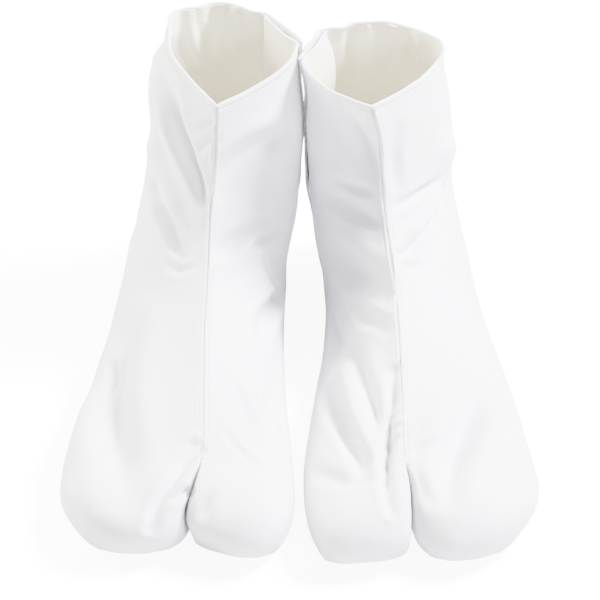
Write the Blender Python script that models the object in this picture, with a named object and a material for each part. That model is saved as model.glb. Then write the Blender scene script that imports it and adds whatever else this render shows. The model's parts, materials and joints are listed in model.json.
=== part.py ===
"""Pair of white tabi socks standing filled out, each an upper of two cloth panels on a sole.

Each sock is worked out in its own frame, in millimetres: x to the little-toe side, y forward
from the back of the heel, z up from the floor.  Section rows run from the rim down the shaft,
fan round the ankle and go along the foot to the root of the toe cleft.  From there each toe
pocket has closed rings of its own.  The pair is then set down in metres, toes towards -Y.
"""
import math

import bmesh
import bpy
import numpy as np
from mathutils import Matrix, Vector

OBJECT_NAME = "tabi_socks"
MM = 0.001

# --- driving sizes, in millimetres ---------------------------------------------------------
CLOTH = 1.5                # wall of an upper: outer cloth and lining seen as one
SOLE_CLOTH = 2.5           # wall of the padded sole
SEAM_GAP = 0.3             # space between two panels at a seam
SOLE_GAP = 0.3             # height left between upper and sole
SEAM_TURN = 1.4            # within this height of that gap a wall turns level
SOLE_EDGE = 4.2            # height of the seam between upper and sole
FLOOR_SINK = 0.8           # how far a round section is pressed flat on the floor
LAP_STEP = 2.2             # outer lap stands this far proud of the panel below it
LAP_TUCK = 2.2             # under-lap dips this far inwards
LAP_DEPTH = 27.0           # width of the under-lap behind the closure edge
CLOSURE_PLACE = 3.34       # the opening ends here in the section table, seam below
TOE_TIP = 13.0             # height of the foremost point of a toe pocket
UPPER_EDGE = SOLE_EDGE + SOLE_GAP / 2
SOLE_TOP = SOLE_EDGE - SOLE_GAP / 2

# --- mesh density ---------------------------------------------------------------------------
ROW_STEPS = 3              # rings between two section rows
UPPER_COLUMNS = 14         # strips from the front seam to the sole seam, each side
SOLE_COLUMNS = 4           # strips from the sole seam to the middle of the sole
WEB_COLUMNS = 5            # strips up the inner side of a toe pocket
WRAP_COLUMNS = 7           # strips of the outer lap round the back
LAP_COLUMNS = 4            # strips of the under-lap
POCKET_RINGS = 12          # rings from the toe cleft to a toe tip
TIP_CROWDING = 2.2         # 1: evenly spaced, more: closer near the tip
HEEL_STEPS = (0.03, 0.12)  # more rings where the sole begins, in places of the section table
TOE_STEP = 0.025           # and one where it ends, as a share of a toe pocket
SIDE_SAMPLES = 120         # samples of a ring's side where the surface is measured
WEB_SAMPLES = 24
SOLE_WEB_COLUMNS = 3       # strips of the sole up the cleft side
WELD = 0.000004            # points this close, in metres, are one
CROWDING = 0.75            # how closely strips may crowd where a band stops short

# --- sections ---------------------------------------------------------------------------------
# front_y, front_z: front seam, then top of foot.  back_y, back_z: back seam, then sole middle.
# out / in: little-toe side and big-toe side.  w: greatest half width.  level: where it lies
# between back (0) and front (1).  round: 1 an ellipse, less a flat sole, more a pointed back.
# ridge: how sharply the front seam stands out.  drift: how far the section lies to the side.
SECTION_COLUMNS = ("front_y", "front_z", "back_y", "back_z", "ridge", "drift",
                   "out_w", "out_level", "out_round", "in_w", "in_level", "in_round")
SECTIONS = {
    "right": (
        (88, 137, 9, 146, .85, 0, 28, .20, 1.0, 36, .38, 2.0),
        (88, 119, 9, 124, .75, 1, 37, .38, 1.0, 37, .42, 1.5),
        (90, 99, 8, 96, .65, 2, 34, .44, 1.0, 40, .45, 1.1),
        (97, 84, 5, 66, .55, 4, 36, .48, .95, 41, .48, .95),
        (111, 71, 1, 38, .50, 4, 40, .48, .85, 40, .48, .85),
        (128, 62, 2, 12, .45, 4, 45, .45, .80, 36, .45, .80),
        (147, 54, 25, -1, .40, 4, 48, .42, .55, 35, .42, .55),
        (167, 47, 80, -1, .35, 3, 52, .42, .40, 34, .42, .40),
        (186, 41, 130, -1, .30, 2, 57, .42, .38, 36, .42, .38),
        (202, 36, 180, -1, .25, 1, 64, .43, .37, 39, .43, .37),
        (215, 33, 212, -1, .22, 0, 66, .45, .36, 41, .45, .36),
    ),
    "left": (
        (86, 137, 14, 141, .80, 1, 41, .33, 1.0, 28, .44, 1.8),
        (87, 119, 12, 121, .75, 5, 41, .38, 1.0, 28, .44, 1.4),
        (90, 99, 9, 96, .65, 6, 42, .44, 1.0, 29, .45, 1.1),
        (97, 84, 5, 66, .55, 7, 41, .48, .95, 30, .48, .95),
        (111, 71, 1, 38, .50, 8, 43, .48, .85, 30, .48, .85),
        (128, 62, 2, 12, .45, 8, 47, .45, .80, 28, .45, .80),
        (147, 54, 25, -1, .40, 7, 50, .42, .55, 24, .42, .55),
        (167, 47, 80, -1, .35, 5, 53, .42, .40, 27, .42, .40),
        (186, 41, 130, -1, .30, 3, 58, .42, .38, 36, .42, .38),
        (202, 36, 180, -1, .25, 1, 61, .43, .37, 43, .43, .37),
        (215, 33, 212, -1, .22, 0, 62, .45, .36, 45, .45, .36),
    ),
}

# --- toe pockets --------------------------------------------------------------------------------
# tip_x, tip_y: foremost point.  reach_x: side face at the cleft.  side, cleft, top, under: how
# squarely each outline turns to the tip.  height: top of the pocket.  lean: how far the cleft
# drifts to the little-toe side on its way to the tips.
POCKET_COLUMNS = ("tip_x", "tip_y", "reach_x", "height", "side", "cleft", "top",
                  "under", "lean")
POCKETS = {
    ("right", "out"): (31, 252, 66, 33, 1.9, 3.2, 2.3, 2.4, 9),
    ("right", "in"): (-19, 253, 41, 33, 2.8, 3.2, 2.4, 2.4, 9),
    ("left", "out"): (20, 252, 62, 33, 1.9, 3.2, 2.3, 2.4, 4),
    ("left", "in"): (-28, 252, 45, 33, 3.2, 3.2, 2.4, 2.4, 4),
}
POCKET_BLEND = 0.95        # share of a pocket over which the flat cleft side becomes round
UPPER_POWER = 0.88         # below 1 a pocket's ring is squarer than an ellipse, above and
LOWER_POWER = 0.42         # below its widest line
CLEFT_OPENING = 0.9        # space between the two pockets near the cleft
POCKET_SEAM_ANGLE = 135    # where the seam top and the middle of the sole lie on a ring
POCKET_SOLE_ANGLE = -100

# --- closure: place in the section table, share of the way to its edge (1: to the sole seam) --
CLOSURE = ((0, .56), (2, .58), (3.34, .60), (4.34, .64), (5, .72), (5.67, 1.0))

# --- folds: side, depth, half width, and the places along it (section table, share round) ----
SWELL = 0.25               # swell beside a trough, as a share of its depth
FOLDS = {
    "right": (
        ("out", 2.4, 7.0, ((0.7, .45), (1.1, .20), (2.0, .11), (2.8, .04))),
        ("out", -2.0, 8.0, ((2.0, .28), (2.4, .46))),
        ("out", 2.0, 6.0, ((2.9, .40), (3.3, .20), (4.2, .09))),
        ("out", 1.2, 6.0, ((3.3, .86), (3.9, .66), (4.6, .55))),
        ("out", 1.2, 6.5, ((4.9, .60), (5.6, .80))),
        ("out", 1.8, 7.0, ((7.3, .37), (8.2, .33), (9.0, .29), (10.4, .25))),
        ("in", 1.4, 6.5, ((2.0, .22), (2.8, .06))),
        ("in", 1.3, 6.5, ((3.4, .19), (3.9, .05))),
        ("in", 1.8, 6.5, ((4.4, .22), (5.2, .34), (5.9, .42))),
        ("in", 1.8, 6.5, ((5.6, .58), (6.1, .27))),
        ("in", -1.8, 7.0, ((6.9, .25), (7.6, .21), (8.3, .18))),
        ("in", 1.6, 6.5, ((7.1, .15), (8.0, .12))),
        ("in", 1.8, 7.0, ((7.7, .36), (8.6, .33))),
        ("in", -1.6, 5.5, ((-0.8, .80), (0.9, .80))),
        ("in", 1.5, 5.0, ((-0.8, .90), (0.8, .91))),
        ("out", -1.5, 5.0, ((-0.8, .93), (0.9, .92))),
    ),
    "left": (
        ("in", 2.2, 8.0, ((0.8, .30), (1.4, .17), (1.9, .04))),
        ("in", 1.3, 6.5, ((2.5, .24), (2.5, .04))),
        ("in", 1.3, 6.5, ((3.2, .30), (3.3, .06))),
        ("in", 1.9, 7.5, ((4.6, .28), (5.5, .13))),
        ("in", 1.8, 6.0, ((6.0, .44), (5.9, .20))),
        ("in", 1.6, 6.0, ((6.8, .42), (6.8, .22))),
        ("in", -1.8, 6.5, ((7.0, .20), (7.8, .13), (8.6, .08))),
        ("in", 2.4, 7.0, ((7.6, .32), (8.7, .23), (10.3, .17))),
        ("in", 1.2, 5.5, ((9.4, .40), (11.4, .25), (12.4, .13))),
        ("out", -2.0, 8.0, ((2.0, .28), (2.4, .46))),
        ("out", 1.9, 6.0, ((3.1, .38), (4.0, .14), (4.4, .06))),
        ("out", 1.2, 6.5, ((2.9, .06), (2.8, .26))),
        ("out", 1.2, 6.0, ((3.5, .82), (4.1, .64), (4.7, .56))),
        ("out", 1.2, 6.5, ((4.8, .58), (5.5, .78))),
        ("out", 1.8, 7.0, ((7.9, .26), (9.3, .21), (11.5, .17))),
        ("in", -1.6, 5.0, ((-0.8, .84), (0.9, .84))),
        ("in", 1.3, 5.0, ((-0.8, .93), (0.8, .93))),
        ("out", -1.4, 5.0, ((-0.8, .90), (0.9, .91))),
    ),
}
FLARE = {"right": 0.8, "left": 0.3}   # how far the outer lap's top corner stands off
FLARE_DROP = 2.2           # rows of the section table over which it dies away
WRAP_FOOT = 1.6            # the wrap ends this far behind the foot of the closure seam
WRAP_ROOM = 0.35           # more room at that seam where its two sides turn under the heel

# --- clasps: small metal plates held between the outer lap and the under-lap ------------------
CLASP_ROWS = (1, 3, 5, 7, 9)          # section rings that carry one, from the rim down
CLASP_WIDTH = 10.0
CLASP_HEIGHT = 7.0
CLASP_THICKNESS = 0.9
CLASP_ROUNDING = 2.4
CLASP_BEHIND = 11.0                   # its middle lies this far behind the closure edge
CLASP_DEPTH = 0.9                     # and this far inside the sock's outer surface

# --- placing ---------------------------------------------------------------------------------
# seam_x: front seam from the middle of the pair.  heel_y: back of the heel.  turn: toe-out.
SOCK_PLACES = {
    "right": {"seam_x": -35.5, "heel_y": 118.0, "turn": 2.0, "out_is": -1},
    "left": {"seam_x": 22.3, "heel_y": 114.5, "turn": 6.5, "out_is": 1},
}


def rows_as_dict(columns, row):
    return dict(zip(columns, row))


def eased(value, start, end):
    share = min(max((value - start) / (end - start), 0.0), 1.0)
    return share * share * (3 - 2 * share)


def between_rows(table, place):
    """Catmull-Rom row at a fractional place in a table."""
    last = len(table) - 1
    index = min(int(place), last - 1)
    share = place - index
    before = table[max(index - 1, 0)]
    here = table[index]
    after = table[index + 1]
    beyond = table[min(index + 2, last)]
    return 0.5 * (2 * here + (after - before) * share
                  + (2 * before - 5 * here + 4 * after - beyond) * share ** 2
                  + (3 * here - before - 3 * after + beyond) * share ** 3)


def half_section(row, half):
    """Points from the front seam round one side to the back seam or the sole's middle."""
    sec = rows_as_dict(SECTION_COLUMNS, row)
    sign = 1 if half == "out" else -1
    width, level, roundness = (sec[half + "_w"], sec[half + "_level"], sec[half + "_round"])
    angle = np.linspace(0, math.pi, 241)
    front = level + (1 - level) * ((1 - sec["ridge"]) * np.cos(angle)
                                   + sec["ridge"] * (1 - 2 * angle / math.pi))
    back = level - level * np.abs(np.cos(angle)) ** roundness
    along = np.where(angle <= math.pi / 2, front, back)
    points = np.empty((len(angle), 3))
    points[:, 0] = sign * width * np.sin(angle)
    points[:, 1] = sec["back_y"] + (sec["front_y"] - sec["back_y"]) * along
    points[:, 2] = sec["back_z"] + (sec["front_z"] - sec["back_z"]) * along
    points[-1, 0] = 0
    points[:, 0] += sec["drift"]
    return points


def arc_lengths(points):
    steps = np.linalg.norm(np.diff(points, axis=0), axis=1)
    return np.concatenate([[0.0], np.cumsum(steps)])


def resampled(points, strips):
    """The polyline as a number of equal strips."""
    lengths = arc_lengths(points)
    wanted = np.linspace(0, lengths[-1], strips + 1)
    return np.stack([np.interp(wanted, lengths, points[:, axis]) for axis in range(3)], axis=1)


# --- the outer surface of a sock ----------------------------------------------------------------
def place_where(column_value, wanted, low, high):
    """Where a falling value passes the wanted one, by halving the interval."""
    for _ in range(50):
        middle = (low + high) / 2
        if column_value(middle) > wanted:
            low = middle
        else:
            high = middle
    return (low + high) / 2


def body_places(table):
    """Places of the rings in the section table, with those where the sole seam starts."""
    places = [index / ROW_STEPS for index in range((len(table) - 1) * ROW_STEPS + 1)]
    back_z = SECTION_COLUMNS.index("back_z")
    for height in (UPPER_EDGE, SOLE_TOP):
        places.append(place_where(lambda at: between_rows(table, at)[back_z], height, 4, 6))
    places.extend(places[-1] + step for step in HEEL_STEPS)
    return sorted(places)


def pocket_reach(share):
    """How far along a pocket a ring lies: the rings crowd towards the tip."""
    return 1 - (1 - share) ** TIP_CROWDING


def closing(reach, power):
    """How far an outline is still open on its way to the tip."""
    return max(1 - reach ** power, 0.0) ** (1 / power)


def pocket_bottom(pocket, share):
    under = closing(pocket_reach(share), pocket["under"])
    return TOE_TIP * (1 - under) - FLOOR_SINK * under


def pocket_shares(pocket):
    """Rings of a toe pocket, with those where the sole seam ends."""
    seams = [place_where(lambda at: -pocket_bottom(pocket, at), -height, 0, 1)
             for height in (UPPER_EDGE, SOLE_TOP)]
    seams.append(seams[-1] - TOE_STEP)
    even = [index / POCKET_RINGS for index in range(1, POCKET_RINGS + 1)]
    apart = [share for share in even if min(abs(share - seam) for seam in seams) > TOE_STEP]
    return sorted(seams + apart)


def pocket_ring(pocket, half, share, flat_side, web_line):
    """Ring of a toe pocket: seam top round the outside to the sole, and up the cleft side."""
    sign = 1 if half == "out" else -1
    reach = pocket_reach(share)
    cleft_y = flat_side[-1, 1]
    cleft_line = pocket["lean"] * reach + sign * CLEFT_OPENING / 2 * min(1.0, reach * 5)
    side_x = (pocket["tip_x"] + (sign * pocket["reach_x"] - pocket["tip_x"])
              * closing(reach, pocket["side"]))
    cleft_x = (pocket["tip_x"] + (cleft_line - pocket["tip_x"])
               * closing(reach, pocket["cleft"]))
    top_z = TOE_TIP + (pocket["height"] - TOE_TIP) * closing(reach, pocket["top"])
    bottom_z = pocket_bottom(pocket, share)
    y = cleft_y + (pocket["tip_y"] - cleft_y) * reach
    middle = np.array([(side_x + cleft_x) / 2, y, (top_z + bottom_z) / 2])
    half_size = np.array([sign * abs(side_x - cleft_x) / 2, 0, (top_z - bottom_z) / 2])
    widest = int(np.argmax(np.abs(flat_side[:, 0] - flat_side[0, 0])))
    side_arcs = [ring_arc(POCKET_SEAM_ANGLE, 0, widest),
                 ring_arc(0, POCKET_SOLE_ANGLE, len(flat_side) - 1 - widest)[1:]]
    web_arc = ring_arc(POCKET_SOLE_ANGLE, POCKET_SEAM_ANGLE - 360, len(web_line) - 1)
    blend = eased(reach, 0.0, POCKET_BLEND)
    low, high = flat_side[:, 2].min(), flat_side[:, 2].max()
    parts = []
    for part, arc in ((flat_side, np.vstack(side_arcs)), (web_line, web_arc)):
        rounded = middle + half_size * arc
        flat = part.copy()
        flat[:, 0] = cleft_x + part[:, 0] * abs(side_x - cleft_x) / pocket["reach_x"]
        flat[:, 1] += y - cleft_y
        flat[:, 2] = bottom_z + (part[:, 2] - low) * (top_z - bottom_z) / (high - low)
        parts.append(flat * (1 - blend) + rounded * blend)
    return parts


def ring_arc(start, end, strips):
    """Part of a squarish ring of half width and half height 1, in equal strips."""
    turn = np.radians(np.linspace(start, end, 121))
    power = np.where(np.sin(turn) > 0, UPPER_POWER, LOWER_POWER)
    points = np.zeros((len(turn), 3))
    points[:, 0] = np.sign(np.cos(turn)) * np.abs(np.cos(turn)) ** power
    points[:, 2] = np.sign(np.sin(turn)) * np.abs(np.sin(turn)) ** power
    return resampled(points, strips)


def outer_surface(sock):
    """Grids of the sock's outside: a side and a cleft web for each half."""
    table = np.array(SECTIONS[sock], float)
    places = body_places(table)
    grids = {}
    for half in ("out", "in"):
        sides = [resampled(half_section(between_rows(table, at), half), SIDE_SAMPLES)
                 for at in places]
        root = sides[-1]
        web_line = np.linspace(root[-1], root[0], WEB_SAMPLES + 1)
        webs = [web_line]
        pocket = rows_as_dict(POCKET_COLUMNS, POCKETS[sock, half])
        for share in pocket_shares(pocket):
            side, web = pocket_ring(pocket, half, share, root, web_line)
            sides.append(side)
            webs.append(web)
        grids[half, "side"] = np.array(sides)
        grids[half, "web"] = np.array(webs)
    return places, grids


def vertex_normals(grids, welds):
    """Smooth outward normals, shared where grids have the same point."""
    sums = np.zeros((max(weld.max() for weld in welds.values()) + 1, 3))
    for (half, _), grid in grids.items():
        weld = welds[half, _]
        across = grid[1:, 1:] - grid[:-1, :-1]
        back = grid[1:, :-1] - grid[:-1, 1:]
        face = np.cross(across, back) * (1 if half == "out" else -1)
        for corner in (weld[1:, 1:], weld[:-1, :-1], weld[1:, :-1], weld[:-1, 1:]):
            np.add.at(sums, corner, face)
    sums /= np.maximum(np.linalg.norm(sums, axis=1, keepdims=True), 1e-9)
    return {key: sums[weld] for key, weld in welds.items()}


def weld_numbers(grids):
    """One number for each different point of the grids."""
    flat = np.concatenate([grid.reshape(-1, 3) for grid in grids.values()])
    _, numbers = np.unique(np.round(flat, 4), axis=0, return_inverse=True)
    numbers = numbers.reshape(-1)
    welds, start = {}, 0
    for key, grid in grids.items():
        count = grid.shape[0] * grid.shape[1]
        welds[key] = numbers[start:start + count].reshape(grid.shape[:2])
        start += count
    return welds


def at_place(grid, places, row_at, column_at):
    """Point of a side at a place in the section table and a share of the way round."""
    row = np.interp(row_at, places + [places[-1] + index + 1 for index in range(40)],
                    range(len(places) + 40))
    row = min(row, grid.shape[0] - 1.001) if row_at >= 0 else row_at * ROW_STEPS
    column = min(column_at, 0.9999) * (grid.shape[1] - 1)
    r, c = max(int(row), 0), int(column)
    u, v = row - r, column - c
    return ((grid[r, c] * (1 - v) + grid[r, c + 1] * v) * (1 - u)
            + (grid[r + 1, c] * (1 - v) + grid[r + 1, c + 1] * v) * u)


def fold_heights(points, spine, depth, width):
    """How far a fold moves each point: deepest mid-way along, with a low swell each side."""
    best = np.full(points.shape[:-1], 1e9)
    taper = np.zeros(points.shape[:-1])
    lengths = arc_lengths(spine)
    for index in range(len(spine) - 1):
        start, step = spine[index], spine[index + 1] - spine[index]
        share = np.clip(((points - start) @ step) / max(step @ step, 1e-9), 0, 1)
        gap = np.linalg.norm(points - start - share[..., None] * step, axis=-1)
        along = (lengths[index] + share * np.linalg.norm(step)) / lengths[-1]
        nearer = gap < best
        best = np.where(nearer, gap, best)
        taper = np.where(nearer, np.sin(np.pi * np.clip(along * 0.92 + 0.04, 0, 1)) ** 0.6, taper)
    trough = np.exp(-(best / width) ** 2)
    swell = np.exp(-((best - 1.7 * width) / (0.8 * width)) ** 2)
    return -depth * taper * (trough - SWELL * swell)


def creased(sock, places, grids):
    """The grids with the sock's folds pressed in, flat on the floor, and their normals."""
    welds = weld_numbers(grids)
    normals = vertex_normals(grids, welds)
    moved = {key: grid.copy() for key, grid in grids.items()}
    for half, depth, width, spine in FOLDS[sock]:
        side = grids[half, "side"]
        points = np.array([at_place(side, places, *at) for at in spine])
        for key, grid in grids.items():
            if key[0] == half:
                moved[key] += normals[key] * fold_heights(grid, points, depth, width)[..., None]
    for key, grid in moved.items():
        other = ("in" if key[0] == "out" else "out", key[1])
        if key[1] == "side":
            rows = len(places)
            shared = (grid[:rows, 0] + moved[other][:rows, 0]) / 2
            grid[:rows, 0] = shared
            moved[other][:rows, 0] = shared
            shared = (grid[:rows, -1] + moved[other][:rows, -1]) / 2
            grid[:rows, -1] = shared
            moved[other][:rows, -1] = shared
    for half in ("out", "in"):
        side, web = moved[half, "side"], moved[half, "web"]
        web[0] = np.linspace(side[len(places) - 1, -1], side[len(places) - 1, 0], web.shape[1])
        web[1:, -1] = side[len(places):, 0]
        web[1:, 0] = side[len(places):, -1]
    for grid in moved.values():
        grid[..., 2] = np.maximum(grid[..., 2], 0.0)
    return moved, vertex_normals(moved, welds)


# --- panels ------------------------------------------------------------------------------------
def height_crossing(points, height):
    """Length along a falling polyline to where it passes a height, or its whole length."""
    lengths = arc_lengths(points)
    low = np.nonzero(points[:, 2] < height)[0]
    if len(low) == 0:
        return lengths[-1]
    first = max(low[0], 1)
    drop = points[first - 1, 2] - points[first, 2]
    share = min(max((points[first - 1, 2] - height) / max(drop, 1e-9), 0), 1)
    return lengths[first - 1] + (lengths[first] - lengths[first - 1]) * share


def crowded(whole, end, strips):
    """Lengths that divide the whole evenly, but crowd near the far end to stop short there."""
    shares = np.linspace(0, 1, strips + 1)
    short = 1 - end / max(whole, 1e-9)
    if short < 1e-6:
        return end * shares
    return whole * shares * (1 - short * shares ** max(CROWDING / short - 1, 0.05))


def span(points, normals, start, end, strips):
    """Points and normals at equal steps between two lengths along a polyline."""
    return sampled(points, normals, np.linspace(start, end, strips + 1))


def sampled(points, normals, wanted):
    """Points and normals at the wanted lengths along a polyline."""
    lengths = arc_lengths(points)
    place = np.stack([np.interp(wanted, lengths, points[:, axis]) for axis in range(3)], axis=1)
    normal = np.stack([np.interp(wanted, lengths, normals[:, axis]) for axis in range(3)], axis=1)
    return place, normal / np.maximum(np.linalg.norm(normal, axis=1, keepdims=True), 1e-9)


def inwards(points, normals, thickness):
    """Vectors to the inside of a wall.  They turn level at the sole seam, so it is cut level."""
    flat = normals * (1, 1, 0)
    size = np.maximum(np.linalg.norm(flat, axis=-1, keepdims=True), 1e-9)
    level = -flat / size * CLOTH / np.maximum(size, 0.5)
    apart = np.abs(points[:, 2:] - SOLE_EDGE) - SOLE_GAP / 2
    near = 1 - np.clip(apart / SEAM_TURN, 0, 1)
    near = near * near * (3 - 2 * near)
    return -normals * np.reshape(thickness, (-1, 1)) * (1 - near) + level * near


def seam_shift(half, shares):
    """Half of the seam gap at the front seam, dying away round the side."""
    sign = 1 if half == "out" else -1
    return sign * SEAM_GAP / 2 * np.clip(1 - shares / 0.25, 0, 1)


def side_strip(half, surface, normals, ends, wholes, root):
    """A side of a panel from the front seam to the given lengths."""
    points, inward = [], []
    for row, end in enumerate(ends):
        whole = wholes[row]
        place, normal = sampled(surface[row], normals[row], crowded(whole, end, UPPER_COLUMNS))
        if row <= root:
            place[:, 0] += seam_shift(half, np.linspace(0, 1, UPPER_COLUMNS + 1))
        points.append(place)
        inward.append(inwards(place, normal, CLOTH))
    return np.array(points), np.array(inward), half == "out"


def web_strip(half, surface, normals):
    """The cleft side of a toe pocket, from the sole seam up."""
    points, inward = [], []
    for row in range(surface.shape[0]):
        downward, down_normals = surface[row][::-1], normals[row][::-1]
        low = height_crossing(downward, UPPER_EDGE)
        place, normal = span(downward, down_normals, low, 0, WEB_COLUMNS)
        if row == 0:
            place[:, 0] += seam_shift(half, 0.0)
        points.append(place)
        inward.append(inwards(place, normal, CLOTH))
    return np.array(points), np.array(inward), half == "out"


def closure_share(place, foot_share=1.0):
    """Share of the way round to the closure's edge; its foot is where the sole seam lies."""
    shares = [row[1] for row in CLOSURE[:-1]] + [CLOSURE[-1][1] * foot_share]
    return float(np.interp(place, [row[0] for row in CLOSURE], shares))


def upper_patches(sock, places, surface, normals):
    """Patches of the little-toe-side panel and of the big-toe-side panel."""
    out_side, in_side = surface["out", "side"], surface["in", "side"]
    out_normals, in_normals = normals["out", "side"], normals["in", "side"]
    ends_out = [height_crossing(row, UPPER_EDGE) for row in out_side]
    ends_in = [height_crossing(row, UPPER_EDGE) for row in in_side]
    wrap_last = max(index for index, place in enumerate(places) if place <= CLOSURE[-1][0])
    lap_last = max(index for index, place in enumerate(places) if place <= CLOSURE_PLACE)
    wholes_out = [arc_lengths(row)[-1] for row in out_side]
    wholes_in = [arc_lengths(row)[-1] for row in in_side]
    root = len(places) - 1
    out_panel = [side_strip("out", out_side, out_normals, ends_out, wholes_out, root),
                 web_strip("out", surface["out", "web"], normals["out", "web"])]
    seams = {}
    foot_share = ends_in[wrap_last] / wholes_in[wrap_last]
    for row in range(wrap_last + 1):
        seams[row] = wholes_in[row] * closure_share(places[row], foot_share)
    front_ends = list(ends_in)
    front_wholes = list(wholes_in)
    for row in range(wrap_last):
        front_ends[row] = seams[row] - SEAM_GAP / 2
        front_wholes[row] = front_ends[row] + (wholes_in[row] - front_ends[row]) * eased(
            places[row], CLOSURE_PLACE + 1, CLOSURE[-1][0])
    in_panel = [side_strip("in", in_side, in_normals, front_ends, front_wholes, root),
                web_strip("in", surface["in", "web"], normals["in", "web"])]
    wrap_points, wrap_inward = [], []
    for row in range(wrap_last + 1):
        seam_room = SEAM_GAP / 2 + WRAP_ROOM * eased(places[row], CLOSURE_PLACE + 0.5, 5.3)
        edge = seams[row] + seam_room
        from_edge = crowded(wholes_in[row] - edge, ends_in[row] - edge, WRAP_COLUMNS)[::-1]
        place, normal = sampled(in_side[row], in_normals[row], edge + from_edge)
        proud = np.array([LAP_STEP * (1 - eased(gap, 12, LAP_DEPTH + 5)) for gap in from_edge])
        proud *= 1 - eased(places[row], CLOSURE_PLACE + 0.1, CLOSURE_PLACE + 1.0)
        flare = FLARE[sock] * eased(FLARE_DROP - places[row], 0, FLARE_DROP)
        proud += flare * np.array([(1 - min(gap / LAP_DEPTH, 1)) ** 1.6 for gap in from_edge])
        if row == wrap_last:
            previous = wrap_points[-1][0]
            step = previous - place[0]
            place[:] = place[0] + step * (WRAP_FOOT / np.linalg.norm(step))
        wrap_points.append(place + normal * proud[:, None])
        wrap_inward.append(inwards(place, normal, CLOTH))
    out_panel.append((np.array(wrap_points), np.array(wrap_inward), True))
    lap_points, lap_inward = [], []
    for row in range(lap_last + 1):
        start = front_ends[row]
        place, normal = span(in_side[row], in_normals[row], start, start + LAP_DEPTH, LAP_COLUMNS)
        tuck = np.array([LAP_TUCK * eased(gap, 0, 9)
                         for gap in np.linspace(0, LAP_DEPTH, LAP_COLUMNS + 1)])
        place[0, 0] += seam_shift("in", 1.0)
        lap_points.append(place - normal * tuck[:, None])
        lap_inward.append(-normal * CLOTH)
    in_panel.append((np.array(lap_points), np.array(lap_inward), False))
    return {"outer_panel": out_panel, "inner_panel": in_panel}


def sole_half(surface, normals, web, web_normals):
    """Lower part of a ring: from the sole seam to its middle, and up the cleft side if any."""
    start = height_crossing(surface, SOLE_TOP)
    place, normal = span(surface, normals, start, arc_lengths(surface)[-1], SOLE_COLUMNS)
    thickness = np.interp(np.arange(SOLE_COLUMNS + 1), (0, 1.5), (CLOTH, SOLE_CLOTH))
    if web is None:
        return place, inwards(place, normal, thickness)
    down = height_crossing(web[::-1], SOLE_TOP)
    rise = arc_lengths(web)[-1] - down
    web_place, web_normal = span(web, web_normals, 0, rise, SOLE_WEB_COLUMNS)
    web_thickness = np.interp(np.arange(SOLE_WEB_COLUMNS + 1),
                              (SOLE_WEB_COLUMNS - 1.5, SOLE_WEB_COLUMNS), (SOLE_CLOTH, CLOTH))
    thickness = np.concatenate([thickness, web_thickness[1:]])
    place = np.vstack([place, web_place[1:]])
    normal = np.vstack([normal, web_normal[1:]])
    return place, inwards(place, normal, thickness)


def sole_patches(places, surface, normals):
    """The sole: one tray under heel and foot that parts into a tray for each toe pocket."""
    first = next(index for index, place in enumerate(places)
                 if surface["out", "side"][index, -1, 2] <= SOLE_TOP + 1e-6)
    root = len(places) - 1
    patches = []
    rows, inward_rows = [], []
    for row in range(first, root + 1):
        halves = [sole_half(surface[half, "side"][row], normals[half, "side"][row], None, None)
                  for half in ("out", "in")]
        rows.append(np.vstack([halves[0][0], halves[1][0][::-1][1:]]))
        inward_rows.append(np.vstack([halves[0][1], halves[1][1][::-1][1:]]))
    patches.append((np.array(rows), np.array(inward_rows), True))
    for half in ("out", "in"):
        rows, inward_rows = [], []
        side, web = surface[half, "side"], surface[half, "web"]
        for ring in range(web.shape[0]):
            if side[root + ring][:, 2].min() > SOLE_TOP + 1e-3:
                break
            place, inward = sole_half(side[root + ring], normals[half, "side"][root + ring],
                                      web[ring], normals[half, "web"][ring])
            rows.append(place)
            inward_rows.append(inward)
        patches.append((np.array(rows), np.array(inward_rows), half == "out"))
    return {"sole": patches}


# --- solids ------------------------------------------------------------------------------------
def set_down(points, sock, vectors=False):
    """From a sock's own frame in millimetres to the pair's frame in metres."""
    put = SOCK_PLACES[sock]
    turn = math.radians(put["turn"]) * put["out_is"]
    x = points[..., 0] * put["out_is"]
    forward = points[..., 1]
    world = np.empty_like(points)
    world[..., 0] = x * math.cos(turn) + forward * math.sin(turn)
    world[..., 1] = x * math.sin(turn) - forward * math.cos(turn)
    world[..., 2] = points[..., 2]
    if not vectors:
        world[..., 0] += put["seam_x"]
        world[..., 1] += put["heel_y"]
    return world * MM


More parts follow.
